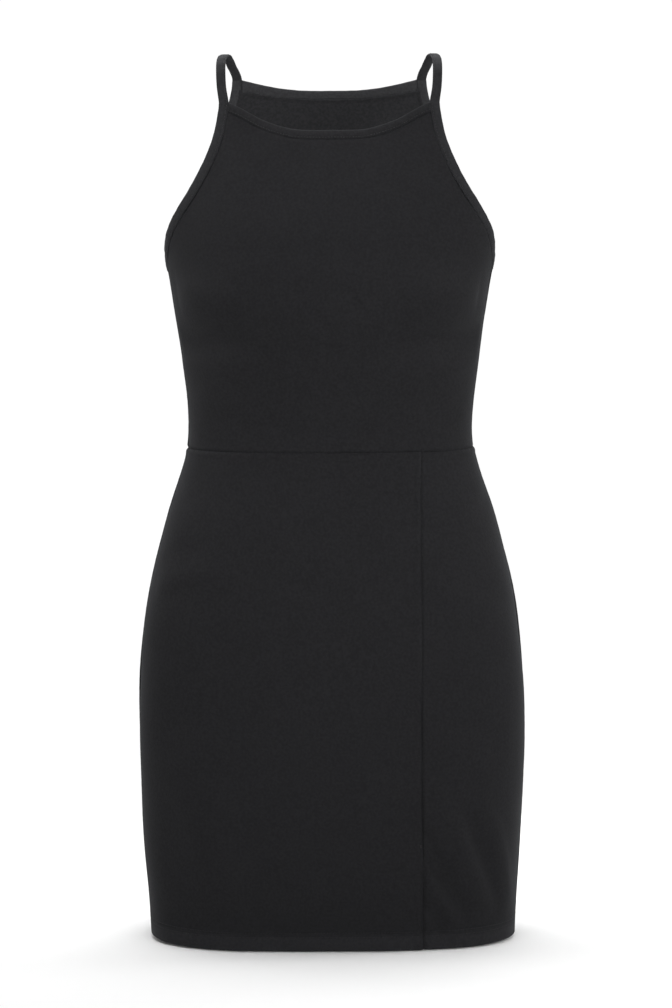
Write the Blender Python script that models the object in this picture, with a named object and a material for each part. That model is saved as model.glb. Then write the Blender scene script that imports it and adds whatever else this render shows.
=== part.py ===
"""Close-fitting sleeveless mini dress, hollow as it stands when worn.

Metres, +Z up. The front faces -Y and the wearer's left side is at +X.
The origin lies midway between the tops of the two shoulder straps.

One smooth form, given by a table of level sections, carries every panel. A place on the form
is an angle round it, 0 at the centre front and 180 at the centre back, and a height. The
cloth's outer face lies on the form, and its inner face one wall further in.
"""
import math
from collections import namedtuple

import bmesh
import bpy
from mathutils import Vector

# Driving sizes
WALL = 0.0012
SEAM_GAP = 0.0003
BINDING_WIDTH = 0.0090
BINDING_PROUD = 0.0005
BINDING_UNDER = 0.0015
EDGE_CROWN = 0.3
EDGE_UNDER = 0.9
NECK_BINDING_DEPTH = 0.0078
WAIST_HEIGHT = -0.3668
HEM_HEIGHT = -0.8277
HEM_TURN_UP = 0.0200
HEM_EXTRA = 0.0010
SKIRT_SEAM_X = 0.0838
SLIT_LENGTH = 0.0980
SLIT_GAP = 0.0016

# Level sections of the form, from the shoulders down
Section = namedtuple("Section", "height half_width front_depth back_depth squareness")
SECTIONS = (
    Section(0.000, 0.1500, 0.035, 0.060, 2.40),
    Section(-0.045, 0.1570, 0.058, 0.081, 2.40),
    Section(-0.070, 0.1610, 0.070, 0.090, 2.40),
    Section(-0.100, 0.1650, 0.086, 0.098, 2.40),
    Section(-0.130, 0.1655, 0.101, 0.104, 2.40),
    Section(-0.160, 0.1620, 0.113, 0.107, 2.40),
    Section(-0.185, 0.1556, 0.119, 0.107, 2.40),
    Section(-0.205, 0.1506, 0.122, 0.106, 2.40),
    Section(-0.240, 0.1450, 0.120, 0.103, 2.40),
    Section(-0.280, 0.1389, 0.108, 0.096, 2.40),
    Section(-0.325, 0.1341, 0.096, 0.088, 2.40),
    Section(-0.360, 0.1333, 0.090, 0.084, 2.40),
    Section(-0.385, 0.1386, 0.092, 0.087, 2.40),
    Section(-0.430, 0.1531, 0.100, 0.101, 2.40),
    Section(-0.480, 0.1665, 0.107, 0.116, 2.40),
    Section(-0.530, 0.1753, 0.110, 0.126, 2.45),
    Section(-0.600, 0.1806, 0.111, 0.130, 2.50),
    Section(-0.670, 0.1800, 0.109, 0.126, 2.55),
    Section(-0.750, 0.1762, 0.1065, 0.118, 2.60),
    Section(-0.830, 0.1713, 0.1055, 0.111, 2.70),
)

# Outer edge of the left armhole, from the front of the strap under the arm to its back
EdgePoint = namedtuple("EdgePoint", "angle height")
ARMHOLE = (
    EdgePoint(36.6, -0.0452),
    EdgePoint(36.6, -0.0535),
    EdgePoint(37.4, -0.0725),
    EdgePoint(39.6, -0.0905),
    EdgePoint(43.4, -0.1085),
    EdgePoint(49.0, -0.1262),
    EdgePoint(57.0, -0.1440),
    EdgePoint(66.0, -0.1605),
    EdgePoint(74.5, -0.1755),
    EdgePoint(82.2, -0.1878),
    EdgePoint(90.0, -0.1940),
    EdgePoint(97.8, -0.1900),
    EdgePoint(106.0, -0.1790),
    EdgePoint(114.6, -0.1620),
    EdgePoint(124.0, -0.1420),
    EdgePoint(133.0, -0.1200),
    EdgePoint(139.0, -0.0975),
    EdgePoint(143.0, -0.0750),
    EdgePoint(145.7, -0.0540),
    EdgePoint(147.2, -0.0345),
    EdgePoint(147.4, -0.0245),
)
UNDERARM = 10
STEPS_PER_EDGE_POINT = 2

# Left strap between the front and back of the armhole, from the front over the shoulder
StrapPoint = namedtuple("StrapPoint", "depth height outer_x inner_x")
STRAP = (
    StrapPoint(-0.0418, -0.0300, 0.1040, 0.0952),
    StrapPoint(-0.0325, -0.0140, 0.1048, 0.0960),
    StrapPoint(-0.0180, -0.0048, 0.1044, 0.0956),
    StrapPoint(-0.0040, -0.0012, 0.1020, 0.0932),
    StrapPoint(0.0090, -0.0005, 0.0998, 0.0911),
    StrapPoint(0.0240, -0.0045, 0.0977, 0.0890),
    StrapPoint(0.0400, -0.0111, 0.0956, 0.0869),
    StrapPoint(0.0535, -0.0182, 0.0930, 0.0842),
)
STEPS_PER_STRAP_POINT = 2

# Neckline, from the centre out to a strap: share of the way, and share of the rise
NeckPoint = namedtuple("NeckPoint", "share rise")
FRONT_NECK = (
    NeckPoint(0.00, 0.000),
    NeckPoint(0.21, 0.015),
    NeckPoint(0.33, 0.085),
    NeckPoint(0.57, 0.365),
    NeckPoint(0.85, 0.820),
    NeckPoint(1.00, 1.000),
)
BACK_NECK = (
    NeckPoint(0.00, 0.000),
    NeckPoint(0.17, 0.005),
    NeckPoint(0.31, 0.075),
    NeckPoint(0.54, 0.305),
    NeckPoint(0.80, 0.680),
    NeckPoint(1.00, 1.000),
)
FRONT_NECK_HEIGHT = -0.0704
BACK_NECK_HEIGHT = -0.0347

# Soft folds of the side skirt front, which fan out below the slit's top. Each runs straight
# from one place to another, and its depth is positive where it stands out of the form.
Fold = namedtuple("Fold", "start_x start_height end_x end_height width depth")
FOLDS = (
    Fold(0.086, -0.722, 0.134, -0.800, 0.010, -0.0016),
    Fold(0.094, -0.716, 0.140, -0.778, 0.009, 0.0014),
    Fold(0.118, -0.714, 0.150, -0.772, 0.011, -0.0013),
    Fold(0.088, -0.782, 0.108, -0.822, 0.008, -0.0012),
    Fold(0.098, -0.764, 0.128, -0.820, 0.010, 0.0010),
)

# Grid sizes
BODICE_COLUMNS = 22
BODICE_SIDE_ROWS = 9
SKIRT_COLUMNS = 16
SIDE_SKIRT_COLUMNS = 10
BACK_SKIRT_COLUMNS = 22
SKIRT_ROWS = 20
HEM_ROWS = 2

NORMAL_STEP = 0.0005
ANGLE_STEP = 0.002
SIDE = math.radians(90)
CLOTH_COLOUR = (0.018, 0.018, 0.020, 1.0)
BINDING_COLOUR = (0.022, 0.022, 0.024, 1.0)


def smooth(knots, values, at):
    """Value at a place on the smooth curve through values, which stand at rising knots."""
    last = len(knots) - 1
    if at <= knots[0]:
        return values[0]
    if at >= knots[last]:
        return values[last]
    low = max(i for i in range(last) if knots[i] <= at)
    span = knots[low + 1] - knots[low]

    def slope(i):
        before, after = max(i - 1, 0), min(i + 1, last)
        return (values[after] - values[before]) * (1 / (knots[after] - knots[before]))

    t = (at - knots[low]) / span
    return (values[low] * (2 * t**3 - 3 * t**2 + 1)
            + slope(low) * (span * (t**3 - 2 * t**2 + t))
            + values[low + 1] * (3 * t**2 - 2 * t**3)
            + slope(low + 1) * (span * (t**3 - t**2)))


RISING_SECTIONS = tuple(reversed(SECTIONS))
SECTION_HEIGHTS = [section.height for section in RISING_SECTIONS]


def section_at(height):
    """The form's level section at a height."""
    def column(name):
        return smooth(SECTION_HEIGHTS, [getattr(s, name) for s in RISING_SECTIONS], height)

    return Section(height, column("half_width"), column("front_depth"),
                   column("back_depth"), column("squareness"))


def on_form(angle, height):
    """Point of the form at an angle in radians and a height."""
    section = section_at(height)
    power = 2 / section.squareness
    across, along = math.sin(angle), math.cos(angle)
    depth = section.front_depth if along > 0 else section.back_depth
    x = math.copysign(section.half_width * abs(across)**power, across)
    y = -math.copysign(depth * abs(along)**power, along)
    return Vector((x, y, height))


def place_of(point):
    """Angle and height of a point on or near the form."""
    section = section_at(point.z)
    power = section.squareness / 2
    depth = section.front_depth if point.y < 0 else section.back_depth
    across = math.copysign((abs(point.x) / section.half_width)**power, point.x)
    along = math.copysign((abs(point.y) / depth)**power, -point.y)
    return math.atan2(across, along), point.z


def angle_at_x(x, height):
    """Angle at which the front of the form passes a given x."""
    section = section_at(height)
    return math.asin((x / section.half_width)**(section.squareness / 2))


def angle_beside_side(height, gap):
    """How far in angle the form turns over a short way from the side."""
    section = section_at(height)
    return math.asin((gap / section.front_depth)**(section.squareness / 2))


def outward(angle, height):
    """Outward direction of the form."""
    round_form = on_form(angle + ANGLE_STEP, height) - on_form(angle - ANGLE_STEP, height)
    up_form = on_form(angle, height + NORMAL_STEP) - on_form(angle, height - NORMAL_STEP)
    return round_form.cross(up_form).normalized()


def armhole_edge(step):
    """Angle and height of the left armhole's outer edge, one whole step for each row."""
    knots = list(range(len(ARMHOLE)))
    angle = smooth(knots, [math.radians(row.angle) for row in ARMHOLE], step)
    return angle, smooth(knots, [row.height for row in ARMHOLE], step)


def armhole_inner(step, distance):
    """Angle and height of the line that runs inside the armhole's edge at a distance."""
    near = 0.05
    angle, height = armhole_edge(step)
    along = on_form(*armhole_edge(step + near)) - on_form(*armhole_edge(step - near))
    inward = along.normalized().cross(outward(angle, height))
    return place_of(on_form(angle, height) + inward * distance)


def neck_line(rows, centre_height, end, share):
    """Angle and height of a neckline, share 0 at the centre and 1 at the left strap."""
    rise = smooth([row.share for row in rows], [row.rise for row in rows], abs(share))
    end_angle, end_height = end
    return end_angle * share, centre_height + (end_height - centre_height) * rise


def patch(left, right, bottom, top):
    """Grid of places blended from four edge lines, as rows from the bottom up."""
    columns, rows = len(bottom) - 1, len(left) - 1
    grid = []
    for j in range(rows + 1):
        v = j / rows
        line = []
        for i in range(columns + 1):
            u = i / columns
            line.append(tuple(
                (1 - u) * left[j][k] + u * right[j][k]
                + (1 - v) * bottom[i][k] + v * top[i][k]
                - (1 - u) * (1 - v) * bottom[0][k] - u * (1 - v) * bottom[-1][k]
                - (1 - u) * v * top[0][k] - u * v * top[-1][k]
                for k in range(2)))
        grid.append(line)
    return grid


def closed_sheet(name, columns, rows, outer_point, inner_point, colour):
    """One closed wall: a flat grid extruded once, then both faces moved to their places."""
    bm = bmesh.new()
    bmesh.ops.create_grid(bm, x_segments=columns, y_segments=rows, size=0.5)
    flat = {}
    for vert in bm.verts:
        flat[vert] = (round((vert.co.x + 0.5) * columns), round((vert.co.y + 0.5) * rows))
    made = bmesh.ops.extrude_face_region(bm, geom=bm.faces[:], use_keep_orig=True)
    for vert in [part for part in made["geom"] if isinstance(part, bmesh.types.BMVert)]:
        column, row = round((vert.co.x + 0.5) * columns), round((vert.co.y + 0.5) * rows)
        vert.co = outer_point(column, row)
    for vert, (column, row) in flat.items():
        vert.co = inner_point(column, row)
    bmesh.ops.recalc_face_normals(bm, faces=bm.faces[:])
    if bm.calc_volume(signed=True) < 0:
        bmesh.ops.reverse_faces(bm, faces=bm.faces[:])
    mesh = bpy.data.meshes.new(name)
    bm.to_mesh(mesh)
    bm.free()
    mesh.shade_smooth()
    mesh.set_sharp_from_angle(angle=math.radians(40))
    mesh.materials.append(knit(name, colour))
    piece = bpy.data.objects.new(name, mesh)
    bpy.context.scene.collection.objects.link(piece)
    return piece


def knit(name, colour):
    """Matt knitted cloth."""
    material = bpy.data.materials.new(name + "_cloth")
    material.use_nodes = True
    shader = material.node_tree.nodes["Principled BSDF"]
    shader.inputs["Base Color"].default_value = colour
    shader.inputs["Roughness"].default_value = 0.85
    shader.inputs["Metallic"].default_value = 0.0
    return material


def flat_relief(angle, height):
    """No folds."""
    return 0.0


def fold_relief(angle, height):
    """How far the folds move the side skirt front in or out."""
    point = on_form(angle, height)
    total = 0.0
    for fold in FOLDS:
        start = Vector((fold.start_x, fold.start_height))
        run = Vector((fold.end_x, fold.end_height)) - start
        here = Vector((point.x, height)) - start
        share = here.dot(run) / run.length_squared
        aside = (here - run * share).length
        ends = math.exp(-((share - 0.5) / 0.42)**4)
        total += fold.depth * ends * math.exp(-(aside / fold.width)**2)
    return total


def wall_under(height):
    """Wall thickness at a height, double where the hem is turned up."""
    turn = HEM_HEIGHT + HEM_TURN_UP
    return WALL + (HEM_EXTRA if height < turn - SEAM_GAP else 0.0)


def panel(name, grid, relief=flat_relief):
    """Cloth panel over a grid of places on the form."""
    def outer_point(column, row):
        angle, height = grid[row][column]
        return on_form(angle, height) + outward(angle, height) * relief(angle, height)

    def inner_point(column, row):
        angle, height = grid[row][column]
        inward = relief(angle, height) - wall_under(height)
        return on_form(angle, height) + outward(angle, height) * inward

    closed_sheet(name, len(grid[0]) - 1, len(grid) - 1, outer_point, inner_point, CLOTH_COLOUR)


def mirrored(line):
    """The same line on the other side of the body."""
    return [(-angle, height) for angle, height in line]


def turned(place):
    """The same place with its angle counted from the centre back, or back again."""
    angle, height = place
    return math.pi - angle, height


def shares_across():
    """Shares of the way from the left edge of a bodice panel to its right edge."""
    return [1 - 2 * i / BODICE_COLUMNS for i in range(BODICE_COLUMNS + 1)]


def armhole_steps(first, last):
    """Steps along the armhole from one row to another, both counted."""
    count = abs(last - first) * STEPS_PER_EDGE_POINT
    return [first + (last - first) * i / count for i in range(count + 1)]


def side_line(height_low, height_high, rows, towards_back):
    """Side seam edge of a panel, half a seam gap from the side."""
    line = []
    for i in range(rows + 1):
        height = height_low + (height_high - height_low) * i / rows
        turn = angle_beside_side(height, SEAM_GAP / 2)
        line.append((SIDE + turn if towards_back else SIDE - turn, height))
    return line


def bodice_panel(name, towards_back, neck_rows, neck_seam_height):
    """Bodice front or back, from the waist seam up to the armhole and neck bindings."""
    corner_row = len(ARMHOLE) - 2 if towards_back else 1
    armhole = [armhole_inner(step, BINDING_WIDTH)
               for step in armhole_steps(UNDERARM, corner_row)]
    underarm_height = armhole[0][1]
    waist = WAIST_HEIGHT + SEAM_GAP / 2
    left = side_line(waist, underarm_height, BODICE_SIDE_ROWS, towards_back) + armhole[1:]
    if towards_back:
        left = [turned(place) for place in left]
    bottom = [(left[0][0] * share, waist) for share in shares_across()]
    top = [neck_line(neck_rows, neck_seam_height, left[-1], share) for share in shares_across()]
    grid = patch(left, mirrored(left), bottom, top)
    if towards_back:
        grid = [[turned(place) for place in line] for line in grid]
    panel(name, grid)


def skirt_heights():
    """Heights of the skirt's rows from the hem up, with a row on each side of the turn-up."""
    turn = HEM_HEIGHT + HEM_TURN_UP
    top = WAIST_HEIGHT - SEAM_GAP / 2
    low = [HEM_HEIGHT + HEM_TURN_UP * i / HEM_ROWS for i in range(HEM_ROWS)]
    low.append(turn - 2 * SEAM_GAP)
    high = [turn + (top - turn) * i / SKIRT_ROWS for i in range(SKIRT_ROWS + 1)]
    return low + high


def seam_angle(height, side):
    """Edge of a skirt front at the off-centre seam, side -1 for the main front."""
    slit_top = HEM_HEIGHT + SLIT_LENGTH
    opened = max(0.0, (slit_top - height) / SLIT_LENGTH)
    gap = SEAM_GAP + (SLIT_GAP - SEAM_GAP) * opened
    return angle_at_x(SKIRT_SEAM_X + side * gap / 2, height)


def skirt_panel(name, columns, first_angle, last_angle, relief=flat_relief):
    """Skirt panel between two edges, each given as an angle for a height."""
    grid = []
    for height in skirt_heights():
        first, last = first_angle(height), last_angle(height)
        grid.append([(first + (last - first) * i / columns, height)
                     for i in range(columns + 1)])
    panel(name, grid, relief)


def side_angle(height):
    """Angle of a front panel's edge at the left side seam."""
    return SIDE - angle_beside_side(height, SEAM_GAP / 2)


def back_angle(height):
    """Angle of the back panel's edge at the left side seam."""
    return SIDE + angle_beside_side(height, SEAM_GAP / 2)


def skirt():
    """The main front, the narrow front beside it and the back."""
    skirt_panel("skirt_front", SKIRT_COLUMNS, lambda h: -side_angle(h),
                lambda h: seam_angle(h, -1))
    skirt_panel("skirt_side_front", SIDE_SKIRT_COLUMNS, lambda h: seam_angle(h, 1),
                side_angle, fold_relief)
    skirt_panel("skirt_back", BACK_SKIRT_COLUMNS, back_angle,
                lambda h: 2 * math.pi - back_angle(h))


def band(name, outer_line, inner_line, turn):
    """Folded strip between two lines of points, crowned along its middle.

    Turn is 1 where the cross product of the way across and the way along points out of the
    body, and -1 where it points in.
    """
    middle_line = [(a + b) / 2 for a, b in zip(outer_line, inner_line)]
    across_lines = (outer_line, middle_line, inner_line)
    last = len(outer_line) - 1
    outward_lines = []
    for i in range(last + 1):
        along = middle_line[min(i + 1, last)] - middle_line[max(i - 1, 0)]
        normal = (outer_line[i] - inner_line[i]).cross(along).normalized()
        outward_lines.append(normal * turn)

    def outer_point(column, row):
        crown = BINDING_PROUD if row == 1 else BINDING_PROUD * EDGE_CROWN
        return across_lines[row][column] + outward_lines[column] * crown

    def inner_point(column, row):
        under = BINDING_UNDER if row == 1 else BINDING_UNDER * EDGE_UNDER
        return across_lines[row][column] - outward_lines[column] * under

    closed_sheet(name, last, 2, outer_point, inner_point, BINDING_COLOUR)


def strap_run(front_pair, back_pair):
    """Outer and inner points of the left strap between the two ends of the armhole."""
    rows = [(Vector((row.outer_x, row.depth, row.height)),
             Vector((row.inner_x, row.depth, row.height))) for row in STRAP]
    rows = front_pair + rows + back_pair
    knots = [0.0]
    for before, after in zip(rows, rows[1:]):
        knots.append(knots[-1] + (after[0] - before[0]).length)
    run = []
    first, last = len(front_pair) - 1, len(rows) - len(back_pair)
    for i in range(first, last):
        for part in range(STEPS_PER_STRAP_POINT):
            at = knots[i] + (knots[i + 1] - knots[i]) * part / STEPS_PER_STRAP_POINT
            run.append(tuple(smooth(knots, [row[k] for row in rows], at) for k in range(2)))
    return run[1:]


def armhole_pair(step):
    """Outer and inner points of the armhole binding at a step."""
    outer = on_form(*armhole_edge(step))
    inner = on_form(*armhole_inner(step, BINDING_WIDTH - SEAM_GAP))
    return outer, inner


def armhole_strap(name, side):
    """Armhole binding that runs on as the shoulder strap, one strip from underarm to underarm."""
    last = len(ARMHOLE) - 1
    front = [armhole_pair(step) for step in armhole_steps(UNDERARM, 0)]
    back = [armhole_pair(step) for step in armhole_steps(last, UNDERARM)]
    strap = strap_run([armhole_pair(0.5), armhole_pair(0)],
                      [armhole_pair(last), armhole_pair(last - 0.5)])
    half_gap = Vector((0, SEAM_GAP / 2, 0))
    front[0] = tuple(point - half_gap for point in front[0])
    back[-1] = tuple(point + half_gap for point in back[-1])
    pairs = front + strap + back
    flip = Vector((side, 1, 1))
    outer_line = [outer * flip for outer, inner in pairs]
    inner_line = [inner * flip for outer, inner in pairs]
    band(name, outer_line, inner_line, side)


def neck_binding(name, towards_back, rows, edge_height):
    """Strip folded over the neck edge, between the two straps."""
    last = len(ARMHOLE) - 1
    top_step, seam_step = (last, last - 1) if towards_back else (0, 1)
    top_end = armhole_inner(top_step, BINDING_WIDTH + SEAM_GAP)
    seam_end = armhole_inner(seam_step, BINDING_WIDTH + SEAM_GAP)
    if towards_back:
        top_end, seam_end = turned(top_end), turned(seam_end)
    seam_end = (seam_end[0], seam_end[1] + SEAM_GAP)
    seam_height = edge_height - NECK_BINDING_DEPTH + SEAM_GAP

    def line_between(height, end):
        places = [neck_line(rows, height, end, share) for share in shares_across()]
        if towards_back:
            places = [turned(place) for place in places]
        return [on_form(*place) for place in places]

    band(name, line_between(edge_height, top_end), line_between(seam_height, seam_end),
         -1 if towards_back else 1)


def bodice():
    """Front and back panels, the neck bindings, and the armhole bindings with their straps."""
    bodice_panel("bodice_front", False, FRONT_NECK, FRONT_NECK_HEIGHT - NECK_BINDING_DEPTH)
    bodice_panel("bodice_back", True, BACK_NECK, BACK_NECK_HEIGHT - NECK_BINDING_DEPTH)
    neck_binding("neck_binding_front", False, FRONT_NECK, FRONT_NECK_HEIGHT)
    neck_binding("neck_binding_back", True, BACK_NECK, BACK_NECK_HEIGHT)
    armhole_strap("armhole_strap_left", 1)
    armhole_strap("armhole_strap_right", -1)


def main():
    for item in list(bpy.data.objects):
        bpy.data.objects.remove(item, do_unlink=True)
    bodice()
    skirt()


main()
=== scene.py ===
import math
from collections import namedtuple

import bmesh
import bpy
import numpy as np
from mathutils import Matrix, Vector


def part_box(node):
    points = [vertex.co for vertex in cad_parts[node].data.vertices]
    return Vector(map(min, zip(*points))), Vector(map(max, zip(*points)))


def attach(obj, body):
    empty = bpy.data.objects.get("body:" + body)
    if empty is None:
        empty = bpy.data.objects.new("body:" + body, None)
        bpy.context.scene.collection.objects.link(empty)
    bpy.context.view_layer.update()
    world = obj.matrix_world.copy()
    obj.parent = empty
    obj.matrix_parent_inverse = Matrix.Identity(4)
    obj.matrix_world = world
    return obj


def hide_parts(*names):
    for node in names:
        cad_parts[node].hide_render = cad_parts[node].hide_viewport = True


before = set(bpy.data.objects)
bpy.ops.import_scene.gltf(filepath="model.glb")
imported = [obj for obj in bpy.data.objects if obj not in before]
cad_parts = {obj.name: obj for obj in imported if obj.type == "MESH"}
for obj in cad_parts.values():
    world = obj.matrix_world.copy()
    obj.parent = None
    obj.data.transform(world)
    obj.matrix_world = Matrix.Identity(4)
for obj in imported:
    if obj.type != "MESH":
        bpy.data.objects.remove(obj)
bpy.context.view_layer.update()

# All lengths are in metres. The solids keep a small gap at a seam, and the frame gives the heights
# of the hem and the waist.
SEAM_GAP = 0.0003
HEM_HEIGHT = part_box("skirt_front")[0].z
WAIST_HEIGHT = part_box("skirt_front")[1].z + SEAM_GAP / 2

# Lowest points of the two necklines
FRONT_NECK_HEIGHT = -0.0704
BACK_NECK_HEIGHT = -0.0337

# Angle of a side seam from the centre front, and the steps that a quarter of the body is measured in
SIDE = math.radians(90)
QUARTER_STEPS = 400

# Cloth: its wall, the even step of its grid, and the closer steps in from an edge
CLOTH_THICKNESS = 0.0010
CLOTH_STEP = 0.0028
EDGE_STEPS = (0.0, 0.0004, 0.0008, 0.0013, 0.0019, 0.0027, 0.0037, 0.0050, 0.0068)

# Widths that set how many columns a panel has: a bodice's, and a quarter of the skirt's girth
BODICE_WIDTH = 0.31
SKIRT_QUARTER = 0.25

# How far in from its side seams a bodice's rows keep the heights of the side
ROW_BLEND = 0.045

# Sewn edges: how far the cloth rolls in, over what distance, and the allowance's ridge beside it
SEAM_ROLL = 0.0010
WAIST_ROLL = 0.0009
ROLL_REACH = 0.0013
RIDGE_PLACE = 0.0040
RIDGE_HALF_WIDTH = 0.0017
WAIST_RIDGE = 0.00045
WAIST_RIDGE_PLACE = 0.0036
FRONT_RIDGES = (0.0001, 0.0006)
SIDE_FRONT_RIDGES = (0.0, 0.0001)
BACK_RIDGES = (0.0003, 0.0003)

# Edges that go into a folded strip, the run over which a side seam turns into one, and how far a
# bodice's top corner goes past the strips' corner, in armhole points
PANEL_UNDER_STRIP = 0.0016
UNDER_STRIP_DEPTH = 0.0008
UNDER_STRIP_REACH = 0.0030
UNDERARM_BLEND = 0.002
CORNER_LIFT = 0.18

# Puckers: how high they stand beside each kind of seam, their pitches, and how far they reach
WAIST_PUCKERS = 0.00022
SIDE_PUCKERS = 0.00016
HEM_PUCKERS = 0.00014
NECK_PUCKERS = 0.00012
PUCKER_PITCHES = (0.0068, 0.0094, 0.0151)
PUCKER_REACH = 0.0045

# Slow swells of the cloth: their pitches, and their height for each metre of pitch
SWELL_PITCHES = (0.055, 0.075, 0.10, 0.14, 0.19)
SWELL_SLOPE = 0.0022

# Where a wave may begin, in radians
PHASES = (0, 6.28)

# Creases: steps along each, how they fade out at their ends, and the shoulders on both sides
CREASE_STEPS = 24
CREASE_TIP = 0.001
CREASE_FADE = 0.8
CREASE_SHOULDER = 0.35

# Hem: the part turned up inside, its stitched lines, and the rises of the rows above its fold
HEM_TURN_UP = 0.0195
HEM_FOLD_RADIUS = 0.0011
HEM_FOLD_STEPS = 9
HEM_STITCH_RISES = (0.0172, 0.0130)
HEM_RISES = (0.0220, 0.0200, 0.0183, 0.0177, 0.0172, 0.0167, 0.0161, 0.0151, 0.0141, 0.0135,
             0.0130, 0.0125, 0.0118, 0.0100, 0.0080, 0.0060, 0.0042, 0.0028, 0.0018, 0.0011)
STITCHED_DEPTH = 0.00028
STITCHED_HALF_WIDTH = 0.0007
BETWEEN_LINES_RISE = 0.00012
BETWEEN_LINES_HALF_WIDTH = 0.0016

# How much paler the hem band is painted, as painted light bounced up from the floor, and how the
# hem rises towards the side seams
HEM_PAINTED_BOUNCE_LIGHT = 1.45
HEM_SIDE_LIFT = 0.0028
HEM_LIFT_REACH = 0.07

# Off-centre skirt seam, and the slit below it, where the side front laps behind the main front
SKIRT_SEAM_X = 0.0838
SLIT_LENGTH = 0.0980
SLIT_PARTING_RUN = 0.022
SLIT_LAP = 0.0022
SLIT_TUCK = 0.0020
SLIT_TUCK_REACH = 0.0075

# Groove beside the main front's edge, which reaches its depth well before the slit has parted
GROOVE_PLACE = 0.0008
GROOVE_HALF_WIDTH = 0.0009
GROOVE_DEPTH = 0.0016
GROOVE_ONSET = 4

# Bar tack at the slit's top: how it pulls the seam in, the dent round its stitches, their top and
# end, and the column of the main front that they follow
TACK_PULL = 0.0009
TACK_PULL_REACH = 0.050
TACK_DENT = 0.0007
TACK_DENT_HALF_WIDTH = 0.0014
TACK_DENT_HALF_LENGTH = 0.0032
BAR_TACK_TOP = -0.7272
BAR_TACK_END = -0.7325
BAR_TACK_COLUMN = -6

# Folded strips: their section, how deep its middle lies, their width laid out as they are folded,
# the waver of a sewn strip, and how deep the neck's strips stand below its edge
STRIP_WIDTH = 0.0090
STRIP_HALF_THICKNESS = 0.00105
STRIP_MIDDLE_IN = 0.0005
STRIP_SQUARENESS = 2.8
STRIP_SECTION_POINTS = 25
STRIP_WAVER = 0.00010
STRIP_WAVER_PITCHES = (0.011, 0.019, 0.043)
NECK_STRIP_DEPTH = 0.0084
NECK_STRIP_STEPS = 96

# Stitched line on a strip: its share of the width in from the middle, and its groove in the cloth
STRIP_LINE_SHARE = 0.30
STRIP_LINE_HALF_WIDTH = 0.07
STRIP_LINE_DEPTH = 0.00022

# How far each side of a strip is moved on its map, to keep the two apart, and how close two points
# are that count as one
STRIP_SIDE_SHIFT = 0.01
SAME_PLACE = 0.000002

# Thread: the length, width and height of one stitch that shows, and how far apart they are
PLAIN_STITCH = (0.0022, 0.00044, 0.00044)
PLAIN_PITCH = 0.0028
TACK_STITCH = (0.0006, 0.0026, 0.0001)
TACK_PITCH = 0.0006

# Level sections of the worn form, from the shoulders down
Section = namedtuple("Section", "height half_width front_depth back_depth squareness")
SECTIONS = (
    Section(0.000, 0.1500, 0.035, 0.060, 2.40),
    Section(-0.045, 0.1570, 0.058, 0.081, 2.40),
    Section(-0.070, 0.1610, 0.070, 0.090, 2.40),
    Section(-0.100, 0.1650, 0.086, 0.098, 2.40),
    Section(-0.130, 0.1655, 0.101, 0.104, 2.40),
    Section(-0.160, 0.1620, 0.113, 0.107, 2.40),
    Section(-0.185, 0.1556, 0.119, 0.107, 2.40),
    Section(-0.205, 0.1506, 0.122, 0.106, 2.40),
    Section(-0.240, 0.1450, 0.120, 0.103, 2.40),
    Section(-0.280, 0.1389, 0.108, 0.096, 2.40),
    Section(-0.325, 0.1341, 0.096, 0.088, 2.40),
    Section(-0.360, 0.1333, 0.090, 0.084, 2.40),
    Section(-0.385, 0.1386, 0.092, 0.087, 2.40),
    Section(-0.430, 0.1531, 0.100, 0.101, 2.40),
    Section(-0.480, 0.1665, 0.107, 0.116, 2.40),
    Section(-0.530, 0.1753, 0.110, 0.126, 2.45),
    Section(-0.600, 0.1806, 0.111, 0.130, 2.50),
    Section(-0.670, 0.1800, 0.109, 0.126, 2.55),
    Section(-0.750, 0.1762, 0.1065, 0.118, 2.60),
    Section(-0.830, 0.1713, 0.1055, 0.111, 2.70),
)

# Outer edge of the left armhole, from the front of the strap under the arm to its back
EdgePoint = namedtuple("EdgePoint", "angle height")
ARMHOLE = (
    EdgePoint(36.6, -0.0452),
    EdgePoint(36.6, -0.0535),
    EdgePoint(37.4, -0.0725),
    EdgePoint(39.6, -0.0905),
    EdgePoint(43.4, -0.1085),
    EdgePoint(49.0, -0.1262),
    EdgePoint(57.0, -0.1440),
    EdgePoint(66.0, -0.1605),
    EdgePoint(74.5, -0.1755),
    EdgePoint(82.2, -0.1878),
    EdgePoint(90.0, -0.1940),
    EdgePoint(97.8, -0.1900),
    EdgePoint(106.0, -0.1790),
    EdgePoint(114.6, -0.1620),
    EdgePoint(124.0, -0.1420),
    EdgePoint(133.0, -0.1200),
    EdgePoint(139.0, -0.0975),
    EdgePoint(143.0, -0.0750),
    EdgePoint(145.7, -0.0540),
    EdgePoint(147.2, -0.0345),
    EdgePoint(147.4, -0.0233),
)
UNDERARM = 10
ARMHOLE_END = len(ARMHOLE) - 1
STEPS_PER_EDGE_POINT = 8

# Left strap between the front and back of the armhole, from the front over the shoulder. Its curve
# runs on by half an armhole point at both ends.
StrapPoint = namedtuple("StrapPoint", "depth height outer_x inner_x")
STRAP = (
    StrapPoint(-0.0418, -0.0300, 0.1040, 0.0952),
    StrapPoint(-0.0325, -0.0140, 0.1048, 0.0960),
    StrapPoint(-0.0180, -0.0048, 0.1044, 0.0956),
    StrapPoint(-0.0040, -0.0012, 0.1028, 0.0938),
    StrapPoint(0.0090, -0.0005, 0.1009, 0.0918),
    StrapPoint(0.0240, -0.0045, 0.0986, 0.0895),
    StrapPoint(0.0400, -0.0111, 0.0960, 0.0868),
    StrapPoint(0.0535, -0.0176, 0.0930, 0.0838),
)
STRAP_STEP = 0.0022
STRAP_RUN_ON = 0.5

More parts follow.
